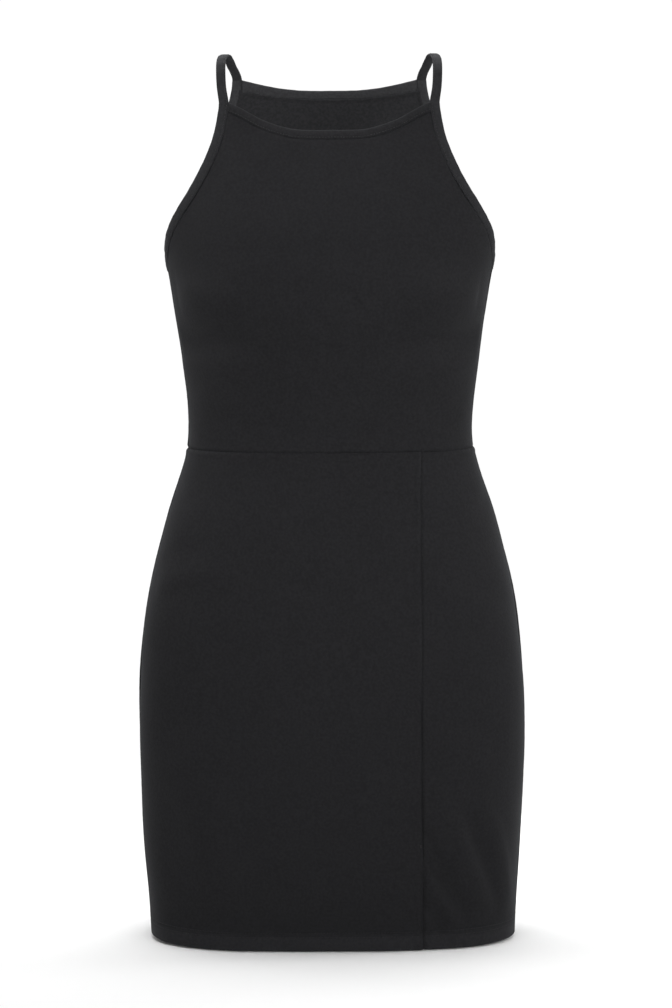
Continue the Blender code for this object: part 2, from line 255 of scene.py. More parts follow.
# Necklines, from the centre out to a strap: share of the way, and share of the rise
NeckPoint = namedtuple("NeckPoint", "share rise")
FRONT_NECK = (
    NeckPoint(0.00, 0.000),
    NeckPoint(0.21, 0.015),
    NeckPoint(0.33, 0.085),
    NeckPoint(0.57, 0.365),
    NeckPoint(0.85, 0.820),
    NeckPoint(1.00, 1.000),
)
BACK_NECK = (
    NeckPoint(0.00, 0.000),
    NeckPoint(0.17, 0.005),
    NeckPoint(0.31, 0.075),
    NeckPoint(0.54, 0.305),
    NeckPoint(0.80, 0.680),
    NeckPoint(1.00, 1.000),
)

# Soft creases, each a bowed run through three places given as degrees from the centre front and
# height. Depth is positive where the cloth stands out.
Crease = namedtuple("Crease", "start middle end width depth")
BODICE_FRONT_CREASES = (
    Crease((-70, -0.223), (-48, -0.221), (-28, -0.227), 0.021, 0.0048),
    Crease((66, -0.222), (42, -0.221), (22, -0.227), 0.021, 0.0062),
    Crease((-76, -0.264), (-52, -0.265), (-24, -0.271), 0.017, -0.0052),
    Crease((76, -0.265), (50, -0.265), (16, -0.270), 0.017, -0.0064),
    Crease((1, -0.210), (5, -0.224), (9, -0.241), 0.008, -0.0016),
    Crease((-5, -0.232), (-2, -0.245), (2, -0.259), 0.007, -0.0013),
    Crease((-84, -0.288), (-64, -0.286), (-46, -0.294), 0.010, 0.0009),
    Crease((84, -0.284), (66, -0.284), (48, -0.292), 0.010, 0.0010),
    Crease((-60, -0.335), (-45, -0.340), (-28, -0.338), 0.010, -0.0009),
    Crease((62, -0.328), (50, -0.334), (34, -0.336), 0.010, -0.0010),
    Crease((-24, -0.350), (-6, -0.346), (14, -0.351), 0.011, -0.0007),
)
BODICE_BACK_CREASES = (
    Crease((96, -0.300), (120, -0.315), (150, -0.322), 0.012, -0.0020),
    Crease((-96, -0.305), (-122, -0.318), (-148, -0.328), 0.012, -0.0021),
    Crease((160, -0.318), (178, -0.325), (-166, -0.319), 0.012, 0.0014),
    Crease((110, -0.340), (140, -0.345), (172, -0.342), 0.010, -0.0015),
    Crease((-104, -0.344), (-136, -0.350), (-165, -0.346), 0.010, -0.0013),
    Crease((98, -0.250), (118, -0.232), (136, -0.205), 0.013, -0.0015),
    Crease((-98, -0.246), (-116, -0.228), (-134, -0.200), 0.013, -0.0016),
)
SKIRT_FRONT_CREASES = (
    Crease((-46, -0.620), (-33, -0.730), (-22, -0.835), 0.034, 0.0082),
    Crease((-74, -0.492), (-54, -0.484), (-28, -0.475), 0.012, 0.0016),
    Crease((-72, -0.462), (-52, -0.457), (-34, -0.452), 0.012, -0.0011),
    Crease((-17, -0.446), (-6, -0.452), (5, -0.462), 0.014, 0.0015),
    Crease((-15, -0.487), (-4, -0.493), (6, -0.502), 0.013, -0.0013),
    Crease((-12, -0.748), (-4, -0.766), (5, -0.790), 0.011, 0.0011),
    Crease((-16, -0.762), (-8, -0.781), (0, -0.806), 0.010, -0.0010),
    Crease((-86, -0.400), (-70, -0.412), (-55, -0.418), 0.010, -0.0011),
    Crease((-80, -0.560), (-62, -0.556), (-40, -0.566), 0.016, -0.0012),
)
SIDE_FRONT_CREASES = (
    Crease((23, -0.660), (40, -0.742), (56, -0.800), 0.010, 0.0008),
    Crease((18, -0.694), (29, -0.750), (42, -0.806), 0.012, -0.0066),
    Crease((20, -0.738), (28, -0.775), (38, -0.815), 0.007, 0.0020),
    Crease((20, -0.770), (27, -0.799), (32, -0.827), 0.006, -0.0020),
    Crease((44, -0.680), (59, -0.735), (72, -0.795), 0.010, 0.0014),
    Crease((35, -0.692), (49, -0.748), (60, -0.802), 0.011, -0.0036),
    Crease((86, -0.402), (72, -0.416), (56, -0.424), 0.010, -0.0011),
    Crease((84, -0.520), (66, -0.506), (46, -0.500), 0.014, -0.0012),
    Crease((30, -0.610), (46, -0.628), (62, -0.652), 0.014, -0.0010),
)
SKIRT_BACK_CREASES = (
    Crease((96, -0.405), (120, -0.420), (146, -0.424), 0.011, -0.0019),
    Crease((-96, -0.410), (-122, -0.426), (-150, -0.430), 0.012, -0.0021),
    Crease((140, -0.392), (164, -0.400), (-172, -0.397), 0.010, -0.0016),
    Crease((104, -0.655), (126, -0.676), (150, -0.684), 0.015, -0.0022),
    Crease((-102, -0.648), (-124, -0.672), (-146, -0.682), 0.015, -0.0020),
    Crease((150, -0.696), (172, -0.704), (-162, -0.700), 0.014, -0.0017),
    Crease((112, -0.730), (132, -0.752), (146, -0.790), 0.016, -0.0018),
    Crease((-108, -0.726), (-128, -0.752), (-142, -0.792), 0.017, 0.0016),
)

# Camera, at the photograph's angle, for a frame of 672 by 1008
CAMERA_PLACE = (0.0062, -4.5, -0.055)
CAMERA_TILT = math.radians(85.35)
CAMERA_LEAN = 0.0040
CAMERA_LENS = 171.64
SENSOR_HEIGHT = 36.0

# Studio: how bright the white air shows and how much it lights, and the floor
AIR_SHOWN = 1.02
AIR_LIGHT = 0.20
FLOOR_RADIUS = 0.8
FLOOR_EDGES = 96
FLOOR_BELOW_HEM = 0.001
FLOOR_COLOUR = (0.98, 0.98, 0.98, 1)
FLOOR_UNEVENNESS = 0.985
FLOOR_CLOUDS = (3.0, 2.0)
FLOOR_ROUGHNESS = 0.9

# Soft boxes, each with its size in metres, its power in watts and its spread in degrees
SoftBox = namedtuple("SoftBox", "name place target width height power spread")
SOFT_BOXES = (
    SoftBox("overhead", (-0.15, 0.9, 1.4), (0, 0.2, -0.9), 2.4, 1.4, 42, 180),
    SoftBox("top", (0, 0.15, 1.5), (0, 0.1, -0.9), 1.8, 1.2, 16, 180),
    SoftBox("high_left", (-0.7, -1.4, 0.85), (0, 0, -0.25), 0.8, 0.8, 1.0, 75),
    SoftBox("front_right", (0.8, -1.5, 0.05), (0, 0, -0.22), 0.8, 0.8, 2.3, 64),
    SoftBox("front", (0.1, -1.7, 0.25), (0, 0, -0.42), 0.6, 0.6, 0.98, 41),
    SoftBox("side_right", (1.2, 0.25, 0.0), (0.1, 0, -0.32), 0.4, 1.1, 3.3, 130),
    SoftBox("side_left", (-1.2, 0.1, 0.25), (-0.1, 0, -0.14), 0.5, 0.5, 1.4, 60),
)

# Knits: dark and light colour, sheen, width of a wale and height of a course. A panel and a strip
# have an outer and an inner side, and a strap takes its inner side from the strips. All are one
# black knit in painted tones: the inner sides are painted much lighter for light that reaches in,
# and the strips and straps lighter than the panels for light that the raised bindings catch.
Knit = namedtuple("Knit", "name dark light sheen wale course")
PANEL_KNITS = (
    Knit("black_knit", (0.0109, 0.0109, 0.0118, 1), (0.0147, 0.0147, 0.0159, 1),
         0.045, 0.0009, 0.0007),
    # painted light: the inner side of the same knit, painted lighter for light that reaches inside
    Knit("black_knit_inside_painted_light", (0.0257, 0.0257, 0.0274, 1), (0.0348, 0.0348, 0.0371, 1),
         0.045, 0.0009, 0.0007),
)
STRIP_KNITS = (
    # painted light: the neck strips, the same knit painted a little lighter for the light they catch
    Knit("black_strip_knit", (0.0124, 0.0124, 0.0133, 1), (0.0168, 0.0168, 0.0181, 1),
         0.06, 0.0007, 0.0009),
    # painted light: inner side of the strips and straps, painted lighter for light that reaches in
    Knit("black_strip_knit_inside", (0.0400, 0.0400, 0.0425, 1), (0.0532, 0.0532, 0.0563, 1),
         0.06, 0.0007, 0.0009),
)
# painted light: armhole bindings and straps, the same knit painted lighter for the light they catch
STRAP_KNIT_PAINTED_LIGHT = Knit("black_strap_knit_painted_light", (0.0161, 0.0161, 0.0174, 1), (0.0219, 0.0219, 0.0236, 1),
                  0.06, 0.0007, 0.0009)

# Surface of every knit: its gloss and the colour and width of its sheen
KNIT_GLOSS = 0.06
SHEEN_ROUGHNESS = 0.42
SHEEN_TINT = (0.93, 0.95, 1.0, 1.0)

# Roughness of a knit, least in the nap's hollows, and by how much the nap adds to it
NAP_ROUGHNESS = 0.80
NAP_ROUGHENING = 0.12

# Nap, grain and slow mottling: fineness, in waves for a metre, and detail
NAP = (1100.0, 3.0)
GRAIN = (420.0, 2.0)
MOTTLE = (38.0, 4.0)

# How much of the speckle is grain and how much mottling, and the values that take both colours
GRAIN_SHARE = 0.85
MOTTLE_SHARE = 0.15
SPECKLE_DARK = 0.36
SPECKLE_LIGHT = 0.64

# Relief of the loops, in shares of the bump's height, and how far a course slants on a wale
WALE_RISE = 0.6
COURSE_RISE = 0.25
NAP_RISE = 0.9
LOOP_SLANT = 2.2
BUMP_STRENGTH = 0.35
BUMP_HEIGHT = 0.00018

# Sewing thread, in the cloth's colour
THREAD_DARK = (0.006, 0.006, 0.0065, 1)
THREAD_LIGHT = (0.013, 0.013, 0.014, 1)
THREAD_GLOSS = 0.2
THREAD_SHEEN = 0.05
THREAD_TWIST = (2400.0, 1.0)
THREAD_ROUGHNESS = 0.5
THREAD_ROUGHENING = 0.15


def smooth(knots, values, at):
    """Values on the smooth curve through values that stand at rising knots."""
    knots, values = np.asarray(knots, float), np.asarray(values, float)
    last = len(knots) - 1
    before = np.maximum(np.arange(last + 1) - 1, 0)
    after = np.minimum(np.arange(last + 1) + 1, last)
    slopes = (values[after] - values[before]) / (knots[after] - knots[before])
    at = np.clip(at, knots[0], knots[last])
    low = np.clip(np.searchsorted(knots, at, side="right") - 1, 0, last - 1)
    span = knots[low + 1] - knots[low]
    t = (at - knots[low]) / span
    return (values[low] * (2 * t**3 - 3 * t**2 + 1)
            + slopes[low] * span * (t**3 - 2 * t**2 + t)
            + values[low + 1] * (3 * t**2 - 2 * t**3)
            + slopes[low + 1] * span * (t**3 - t**2))


RISING_SECTIONS = np.array(SECTIONS[::-1])
SECTION_HEIGHTS = RISING_SECTIONS[:, 0]


def section_at(height):
    """Half width, front depth, back depth and squareness of the form at heights."""
    return [smooth(SECTION_HEIGHTS, RISING_SECTIONS[:, k], height) for k in range(1, 5)]


def on_form(angle, height):
    """Points of the form at angles from the centre front and heights."""
    half_width, front_depth, back_depth, squareness = section_at(height)
    across, along = np.sin(angle), np.cos(angle)
    depth = np.where(along > 0, front_depth, back_depth)
    x = half_width * np.sign(across) * np.abs(across)**(2 / squareness)
    y = -depth * np.sign(along) * np.abs(along)**(2 / squareness)
    return np.stack(np.broadcast_arrays(x, y, height), axis=-1)


def place_of(point):
    """Angles and heights of points on or near the form."""
    x, y, height = point[..., 0], point[..., 1], point[..., 2]
    half_width, front_depth, back_depth, squareness = section_at(height)
    depth = np.where(y < 0, front_depth, back_depth)
    across = np.sign(x) * (np.abs(x) / half_width)**(squareness / 2)
    along = np.sign(-y) * (np.abs(y) / depth)**(squareness / 2)
    return np.arctan2(across, along), height


def unit(vectors):
    """The same directions with length 1."""
    return vectors / np.linalg.norm(vectors, axis=-1, keepdims=True)


def outward(angle, height):
    """Outward directions of the form."""
    turn, rise = 0.004, 0.0010
    round_form = on_form(angle + turn, height) - on_form(angle - turn, height)
    up_form = on_form(angle, height + rise) - on_form(angle, height - rise)
    return unit(np.cross(round_form, up_form))


def armhole_edge(step):
    """Angle and height of the left armhole's outer edge, one whole step for each row."""
    knots = range(len(ARMHOLE))
    angle = smooth(knots, [math.radians(row.angle) for row in ARMHOLE], step)
    return angle, smooth(knots, [row.height for row in ARMHOLE], step)


def armhole_inner(step, distance):
    """Angle and height of the line that runs inside the armhole's edge at a distance."""
    near = 0.05
    along = unit(on_form(*armhole_edge(step + near)) - on_form(*armhole_edge(step - near)))
    inward = np.cross(along, outward(*armhole_edge(step)))
    return place_of(on_form(*armhole_edge(step)) + inward * distance)


def neck_line(rows, centre_height, end, share):
    """Angle and height of a neckline, share 0 at the centre and 1 at the left strap."""
    rise = smooth([row.share for row in rows], [row.rise for row in rows], np.abs(share))
    end_angle, end_height = end
    return end_angle * share, centre_height + (end_height - centre_height) * rise


# Even measure round a quarter of the body, 0 at its centre line and 1 at the side seam
QUARTER_ANGLES = np.linspace(0.0, SIDE, QUARTER_STEPS)
QUARTER_POINTS = on_form(QUARTER_ANGLES, np.full_like(QUARTER_ANGLES, WAIST_HEIGHT))
QUARTER_LENGTHS = np.concatenate(
    [[0.0], np.cumsum(np.linalg.norm(np.diff(QUARTER_POINTS, axis=0), axis=1))])
QUARTER_SHARES = QUARTER_LENGTHS / QUARTER_LENGTHS[-1]


def turn_of(angle):
    """Even measure of an angle counted from a panel's centre line."""
    return np.sign(angle) * np.interp(np.abs(angle), QUARTER_ANGLES, QUARTER_SHARES)


def angle_of(turn):
    """Angle that stands at an even measure."""
    return np.sign(turn) * np.interp(np.abs(turn), QUARTER_SHARES, QUARTER_ANGLES)


def graded(length):
    """Shares of a length, at even steps with closer ones towards both ends."""
    ends = [step for step in EDGE_STEPS if step < length / 3]
    inner_start = ends[-1]
    count = max(2, round((length - 2 * inner_start) / CLOTH_STEP))
    middle = np.linspace(inner_start, length - inner_start, count + 1)[1:-1]
    return np.concatenate([ends, middle, [length - step for step in reversed(ends)]]) / length


def patch(left, right, bottom, top, v_shares, u_shares):
    """Grid blended from four edge lines, rows from the bottom up."""
    v, u = v_shares[:, None], u_shares[None, :]
    return ((1 - u) * left[:, None] + u * right[:, None]
            + (1 - v) * bottom[None, :] + v * top[None, :]
            - (1 - u) * (1 - v) * bottom[0] - u * (1 - v) * bottom[-1]
            - (1 - u) * v * top[0] - u * v * top[-1])


def lengths_along(points, axis):
    """Length run from the first point of each line of a grid."""
    steps = np.linalg.norm(np.diff(points, axis=axis), axis=-1)
    start = np.zeros_like(np.take(steps, [0], axis=axis))
    return np.cumsum(np.concatenate([start, steps], axis=axis), axis=axis)


def rolled_edge(distance, roll=SEAM_ROLL, ridge=0.0, ridge_place=RIDGE_PLACE):
    """Relief beside a sewn edge, which rolls in, with the ridge of the allowance under it."""
    return (-roll * np.exp(-(distance / ROLL_REACH)**2)
            + ridge * np.exp(-((distance - ridge_place) / RIDGE_HALF_WIDTH)**2))


def under_strip(distance):
    """Relief of a panel's edge inside its folded binding."""
    return -UNDER_STRIP_DEPTH * np.exp(-(distance / UNDER_STRIP_REACH)**4)


def strip_edge(distance, height, underarm):
    """Relief of a bodice side: a rolled seam below the underarm, inside the binding above."""
    bound = np.clip((height - underarm) / UNDERARM_BLEND, 0, 1)
    return rolled_edge(distance) * (1 - bound) + under_strip(distance) * bound


def puckers(distance, along, height, seed):
    """Small uneven ripples that the stitches draw in beside a seam."""
    rng = np.random.default_rng(seed)
    wave = sum(np.sin(along * 2 * math.pi / pitch + rng.uniform(*PHASES))
               for pitch in PUCKER_PITCHES)
    return height * wave / len(PUCKER_PITCHES) * np.exp(-distance / PUCKER_REACH)


def swells(along, height, seed):
    """Slow unevenness of hanging cloth."""
    rng = np.random.default_rng(seed)
    total = 0.0
    for pitch in SWELL_PITCHES:
        heading = rng.uniform(0, math.pi)
        place = along * math.cos(heading) + height * math.sin(heading)
        phase = rng.uniform(*PHASES)
        total = total + pitch * SWELL_SLOPE * np.sin(place * 2 * math.pi / pitch + phase)
    return total


def crease_relief(points, creases):
    """How far the creases move points of the form."""
    total = np.zeros(points.shape[:-1])
    share = np.linspace(0, 1, CREASE_STEPS + 1)
    bow = np.array([(1 - share) * (1 - 2 * share), 4 * share * (1 - share),
                    share * (2 * share - 1)])
    for crease in creases:
        angles = np.unwrap(np.radians([crease.start[0], crease.middle[0], crease.end[0]]))
        heights = np.array([crease.start[1], crease.middle[1], crease.end[1]])
        line = on_form(angles @ bow, heights @ bow)
        nearest = np.full(total.shape, np.inf)
        along = np.zeros(total.shape)
        for step, (start, end) in enumerate(zip(line, line[1:])):
            run = end - start
            reach = np.clip((points - start) @ run / (run @ run), 0, 1)
            gap = np.linalg.norm(points - start - reach[..., None] * run, axis=-1)
            along = np.where(gap < nearest, (step + reach) / CREASE_STEPS, along)
            nearest = np.minimum(gap, nearest)
        fade = np.sin(math.pi * np.clip(along, CREASE_TIP, 1 - CREASE_TIP))**CREASE_FADE
        aside = nearest / crease.width
        total += crease.depth * fade * (1 - CREASE_SHOULDER * aside**2) * np.exp(-aside**2)
    return total


def link(name, bm, material):
    """A finished piece at the origin, riding on the body."""
    mesh = bpy.data.meshes.new(name)
    bm.to_mesh(mesh)
    bm.free()
    mesh.shade_smooth()
    mesh.materials.append(material)
    piece = bpy.data.objects.new(name, mesh)
    bpy.context.scene.collection.objects.link(piece)
    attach(piece, "root")
    return piece


def cloth_grid(points, uv):
    """Grid of cloth moved to its points, with its own measure in metres as its UV map."""
    rows, columns = points.shape[0] - 1, points.shape[1] - 1
    bm = bmesh.new()
    bmesh.ops.create_grid(bm, x_segments=columns, y_segments=rows, size=0.5)
    layer = bm.loops.layers.uv.new("cloth")
    places = {}
    for vert in bm.verts:
        places[vert] = (round((vert.co.y + 0.5) * rows), round((vert.co.x + 0.5) * columns))
    for face in bm.faces:
        for loop in face.loops:
            loop[layer].uv = uv[places[loop.vert]]
    for vert, place in places.items():
        vert.co = points[place]
    bm.normal_update()
    return bm


def panel(name, node, angle, height, inset, relief, materials):
    """Thin shell of cloth over a grid of places on the form, with its wall grown inwards.

    Its outer side takes the first of two materials, its inner side the second.
    """
    base = on_form(angle, height)
    out = outward(angle, height)
    points = base + out * (relief - inset)[..., None]
    along = lengths_along(base, 1)
    middle = along[:, [along.shape[1] // 2]]
    uv = np.stack([along - middle, lengths_along(points, 0)], axis=-1)
    bm = cloth_grid(points, uv)
    facing = sum(face.normal.x * face.calc_center_median().x
                 + face.normal.y * face.calc_center_median().y for face in bm.faces)
    if facing < 0:
        bmesh.ops.reverse_faces(bm, faces=bm.faces[:])
    piece = link(name, bm, materials[0])
    piece.data.materials.append(materials[1])
    wall = piece.modifiers.new("wall", "SOLIDIFY")
    wall.thickness = CLOTH_THICKNESS
    wall.offset = -1
    # the inner wall takes the second material, painted lighter as light that reaches inside
    wall.material_offset = 1
    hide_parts(node)
    return piece, points, out


def left_side(height):
    """Angle of the left side seam from a panel's centre line, one for each height."""
    return np.full_like(height, SIDE)


def right_side(height):
    """Angle of the right side seam from a panel's centre line, one for each height."""
    return -left_side(height)


def bodice_panel(name, node, towards_back, neck_rows, neck_height, creases, materials, seed):
    """Bodice front or back, from the waist seam up to its edges under the bindings."""
    corner = ARMHOLE_END - 1 + CORNER_LIFT if towards_back else 1 - CORNER_LIFT
    steps = np.linspace(UNDERARM, corner, (UNDERARM - 1) * STEPS_PER_EDGE_POINT + 1)
    arm_angle, arm_height = armhole_inner(steps, STRIP_WIDTH - PANEL_UNDER_STRIP)
    if towards_back:
        arm_angle = math.pi - arm_angle
    side_length = arm_height[0] - WAIST_HEIGHT
    side_height = WAIST_HEIGHT + side_length * graded(side_length)
    left_angle = np.concatenate([left_side(side_height), arm_angle[1:]])
    left_height = np.concatenate([side_height, arm_height[1:]])
    edge = on_form(left_angle, left_height)
    run = lengths_along(edge, 0)
    v = run / run[-1]
    share = 1 - 2 * graded(BODICE_WIDTH)
    u = (1 - share) / 2
    top_angle, top_height = neck_line(neck_rows,
                                      neck_height - NECK_STRIP_DEPTH + PANEL_UNDER_STRIP,
                                      (left_angle[-1], left_height[-1]), share)
    left_turn = turn_of(left_angle)
    turn = patch(left_turn, -left_turn, left_turn[0] * share, turn_of(top_angle), v, u)
    side_rows = patch(left_height, left_height, np.full_like(share, WAIST_HEIGHT), top_height, v, u)
    even_rows = WAIST_HEIGHT + (top_height - WAIST_HEIGHT) * v[:, None]
    beside = np.exp(-(np.minimum(u, 1 - u) * BODICE_WIDTH / ROW_BLEND)**2)
    height = beside * side_rows + (1 - beside) * even_rows
    angle = angle_of(turn)
    if towards_back:
        angle = math.pi - angle
    base = on_form(angle, height)
    across, up = lengths_along(base, 1), lengths_along(base, 0)
    to_left, to_right = across, across[:, [-1]] - across
    to_waist, to_top = up, up[[-1], :] - up
    relief = (strip_edge(to_left, height, arm_height[0])
              + strip_edge(to_right, height, arm_height[0])
              + rolled_edge(to_waist, WAIST_ROLL) + under_strip(to_top)
              + puckers(to_waist, to_left, WAIST_PUCKERS, seed)
              + puckers(to_left, up, SIDE_PUCKERS, seed + 1)
              + puckers(to_right, up, SIDE_PUCKERS, seed + 2)
              + puckers(to_top, to_left, NECK_PUCKERS, seed + 3)
              + swells(turn * QUARTER_LENGTHS[-1], height, seed + 4)
              + crease_relief(base, creases))
    return panel(name, node, angle, height, np.zeros_like(height), relief, materials)[:2]


def skirt_rows():
    """Heights and insets of a skirt panel's rows, down its face and up inside the hem."""
    drop = WAIST_HEIGHT - HEM_HEIGHT - HEM_RISES[0]
    down = np.concatenate([EDGE_STEPS, np.arange(EDGE_STEPS[-1], drop, CLOTH_STEP)[1:]])
    face = np.concatenate([WAIST_HEIGHT - down, HEM_HEIGHT + np.array(HEM_RISES)])
    bends = np.linspace(0, math.pi, HEM_FOLD_STEPS)[1:-1]
    fold_top = HEM_HEIGHT + HEM_FOLD_RADIUS
    inside = np.linspace(fold_top, HEM_HEIGHT + HEM_TURN_UP, HEM_FOLD_STEPS)
    height = np.concatenate([face, fold_top - HEM_FOLD_RADIUS * np.sin(bends), inside])
    inset = np.concatenate([np.zeros_like(face), HEM_FOLD_RADIUS * (1 - np.cos(bends)),
                            np.full_like(inside, 2 * HEM_FOLD_RADIUS)])
    return height, inset


def slit_share(height):
    """How far the slit has opened at a height, from 0 above it to 1 below."""
    share = np.clip((HEM_HEIGHT + SLIT_LENGTH - height) / SLIT_PARTING_RUN, 0, 1)
    return share**2 * (3 - 2 * share)


def angle_at(x, height):
    """Angle on the front of the form at a distance from its middle."""
    half_width, squareness = section_at(height)[0], section_at(height)[3]
    return np.arcsin((x / half_width)**(squareness / 2))


def main_front_edge(height):
    """Edge of the main front at the off-centre seam, straight down to the hem."""
    return angle_at(SKIRT_SEAM_X, height)


def side_front_edge(height):
    """Edge of the side front, which laps a little way behind the main front's at the slit."""
    return angle_at(SKIRT_SEAM_X - SLIT_LAP * slit_share(height), height)


def hem_relief(rise):
    """Two stitched lines above the hem with the cloth raised a little between them."""
    lines = sum(-STITCHED_DEPTH * np.exp(-((rise - place) / STITCHED_HALF_WIDTH)**2)
                for place in HEM_STITCH_RISES)
    from_middle = rise - sum(HEM_STITCH_RISES) / 2
    return lines + BETWEEN_LINES_RISE * np.exp(-(from_middle / BETWEEN_LINES_HALF_WIDTH)**2)


def slit_relief(relief, node, to_first, to_last, height):
    """Relief of a skirt front with what its bar tack and its slit do to it."""
    to_seam = to_first if node == "skirt_side_front" else to_last
    near_tack = np.exp(-((height - HEM_HEIGHT - SLIT_LENGTH) / TACK_PULL_REACH)**2)
    relief = relief + rolled_edge(to_seam, TACK_PULL) * near_tack
    if node == "skirt_side_front":
        share = slit_share(height)
        beside_edge = (to_first - GROOVE_PLACE - SLIT_LAP * share) / GROOVE_HALF_WIDTH
        return (relief - share * SLIT_TUCK * np.exp(-(to_first / SLIT_TUCK_REACH)**4)
                - np.minimum(1, GROOVE_ONSET * share) * GROOVE_DEPTH * np.exp(-beside_edge**2))
    beside_tack = (to_last - to_last[:, [BAR_TACK_COLUMN]]) / TACK_DENT_HALF_WIDTH
    along_tack = (height - (BAR_TACK_TOP + BAR_TACK_END) / 2) / TACK_DENT_HALF_LENGTH
    return relief - TACK_DENT * np.exp(-beside_tack**2 - along_tack**2)


def skirt_panel(name, node, first, last, towards_back, creases, ridges, materials, seed):
    """Skirt panel between two edges, each an angle for a height from the panel's centre line."""
    row_height, inset = skirt_rows()
    first_turn, last_turn = turn_of(first(row_height)), turn_of(last(row_height))
    u = graded(float(np.abs(last_turn - first_turn).max()) * SKIRT_QUARTER)
    turn = first_turn[:, None] + (last_turn - first_turn)[:, None] * u
    angle = angle_of(turn)
    level = row_height[:, None] - HEM_HEIGHT
    lift = HEM_SIDE_LIFT * np.exp(-(level / HEM_LIFT_REACH)**2) * np.sin(angle)**6
    height = row_height[:, None] + lift
    if towards_back:
        angle = math.pi - angle
    base = on_form(angle, height)
    across = lengths_along(base, 1)
    to_first, to_last = across, across[:, [-1]] - across
    down = row_height[0] - height
    rise = level + np.zeros_like(height)
    on_face = (inset == 0)[:, None]
    relief = (rolled_edge(to_first, ridge=ridges[0]) + rolled_edge(to_last, ridge=ridges[1])
              + rolled_edge(down, WAIST_ROLL, WAIST_RIDGE, WAIST_RIDGE_PLACE)
              + puckers(down, across, WAIST_PUCKERS, seed)
              + puckers(to_first, height, SIDE_PUCKERS, seed + 1)
              + puckers(to_last, height, SIDE_PUCKERS, seed + 2)
              + np.where(on_face, hem_relief(rise), 0.0)
              + puckers(np.abs(rise - HEM_STITCH_RISES[0]), across, HEM_PUCKERS, seed + 3)
              + swells(turn * QUARTER_LENGTHS[-1], height, seed + 4)
              + crease_relief(base, creases))
    if not towards_back:
        relief = slit_relief(relief, node, to_first, to_last, height)
    inset_grid = np.repeat(inset[:, None], len(u), axis=1)
    piece, points, out = panel(name, node, angle, height, inset_grid, relief, materials)
    faces = int((inset == 0).sum())
    return piece, points[:faces], out[:faces], points


def strip_section():
    """Cross-section of a folded strip: share across, rise above its middle, round once."""
    turn = np.linspace(0, 2 * math.pi, STRIP_SECTION_POINTS)
    across = np.sign(np.cos(turn)) * np.abs(np.cos(turn))**(2 / STRIP_SQUARENESS)
    up = np.sign(np.sin(turn)) * np.abs(np.sin(turn))**(2 / STRIP_SQUARENESS)
    return across / 2, up * STRIP_HALF_THICKNESS


def folded_strip(name, node, outer_line, inner_line, turn, materials, seed):
    """Closed, softly rounded strip between two lines, with a stitched line on its face.

    Its outer side takes the first of two materials, its inner side the second.
    """
    across_share, rise = strip_section()
    middle = (outer_line + inner_line) / 2
    across = outer_line - inner_line
    along = np.gradient(middle, axis=0)
    out = unit(np.cross(across, along)) * turn
    run = lengths_along(middle, 0)
    rng = np.random.default_rng(seed)
    waver = sum(STRIP_WAVER * np.sin(run * 2 * math.pi / pitch + rng.uniform(*PHASES))
                for pitch in STRIP_WAVER_PITCHES)
    from_line = (across_share + STRIP_LINE_SHARE) / STRIP_LINE_HALF_WIDTH
    stitched = -STRIP_LINE_DEPTH * np.exp(-from_line**2) * (rise > 0)
    lift = rise + stitched - STRIP_MIDDLE_IN
    points = (middle[None] + across[None] * across_share[:, None, None]
              + out[None] * (lift[:, None] + waver[None, :])[..., None])
    width = np.linalg.norm(across, axis=1)
    uv_across = (across_share[:, None] * width[None, :]
                 + np.sign(rise)[:, None] * STRIP_SIDE_SHIFT)
    uv = np.stack(np.broadcast_arrays(run[None, :], uv_across), axis=-1)
    bm = cloth_grid(points, uv)
    layer = bm.loops.layers.uv["cloth"]
    # faces of the strip's inner half take the second material, painted lighter as light that reaches
    # in
    for face in bm.faces:
        if sum(loop[layer].uv.y for loop in face.loops) < 0:
            face.material_index = 1
    bmesh.ops.remove_doubles(bm, verts=bm.verts[:], dist=SAME_PLACE)
    bmesh.ops.holes_fill(bm, edges=[edge for edge in bm.edges if edge.is_boundary], sides=0)
    bmesh.ops.recalc_face_normals(bm, faces=bm.faces[:])
    if bm.calc_volume(signed=True) < 0:
        bmesh.ops.reverse_faces(bm, faces=bm.faces[:])
    piece = link(name, bm, materials[0])
    piece.data.materials.append(materials[1])
    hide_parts(node)
    stitch_rise = STRIP_HALF_THICKNESS - STRIP_MIDDLE_IN + waver
    stitch_line = middle - across * STRIP_LINE_SHARE + out * stitch_rise[:, None]
    return piece, stitch_line, out


def armhole_pair(step):
    """Outer and inner points of the armhole binding at steps."""
    return (on_form(*armhole_edge(step)),
            on_form(*armhole_inner(step, STRIP_WIDTH + SEAM_GAP)))


def strap_run():
    """Outer and inner lines of the left strap between the two ends of the armhole."""
    front = [armhole_pair(np.array(step)) for step in (STRAP_RUN_ON, 0.0)]
    back = [armhole_pair(np.array(step)) for step in (ARMHOLE_END, ARMHOLE_END - STRAP_RUN_ON)]
    outer = np.array([pair[0] for pair in front]
                     + [(row.outer_x, row.depth, row.height) for row in STRAP]
                     + [pair[0] for pair in back])
    inner = np.array([pair[1] for pair in front]
                     + [(row.inner_x, row.depth, row.height) for row in STRAP]
                     + [pair[1] for pair in back])
    knots = lengths_along(outer, 0)
    count = round((knots[-2] - knots[1]) / STRAP_STEP)
    at = np.linspace(knots[1], knots[-2], count + 1)[1:-1]
    return [np.stack([smooth(knots, line[:, k], at) for k in range(3)], axis=-1)
            for line in (outer, inner)]


def armhole_strap(side, name, node, materials, seed):
    """Armhole binding that runs on as the shoulder strap, from underarm to underarm."""
    count = UNDERARM * STEPS_PER_EDGE_POINT + 1
    front = armhole_pair(np.linspace(UNDERARM, 0, count))
    back = armhole_pair(np.linspace(ARMHOLE_END, UNDERARM, count))
    strap = strap_run()
    flip = np.array([side, 1, 1])
    lines = [np.concatenate([front[k], strap[k], back[k]]) * flip for k in range(2)]
    return folded_strip(name, node, lines[0], lines[1], side, materials, seed)


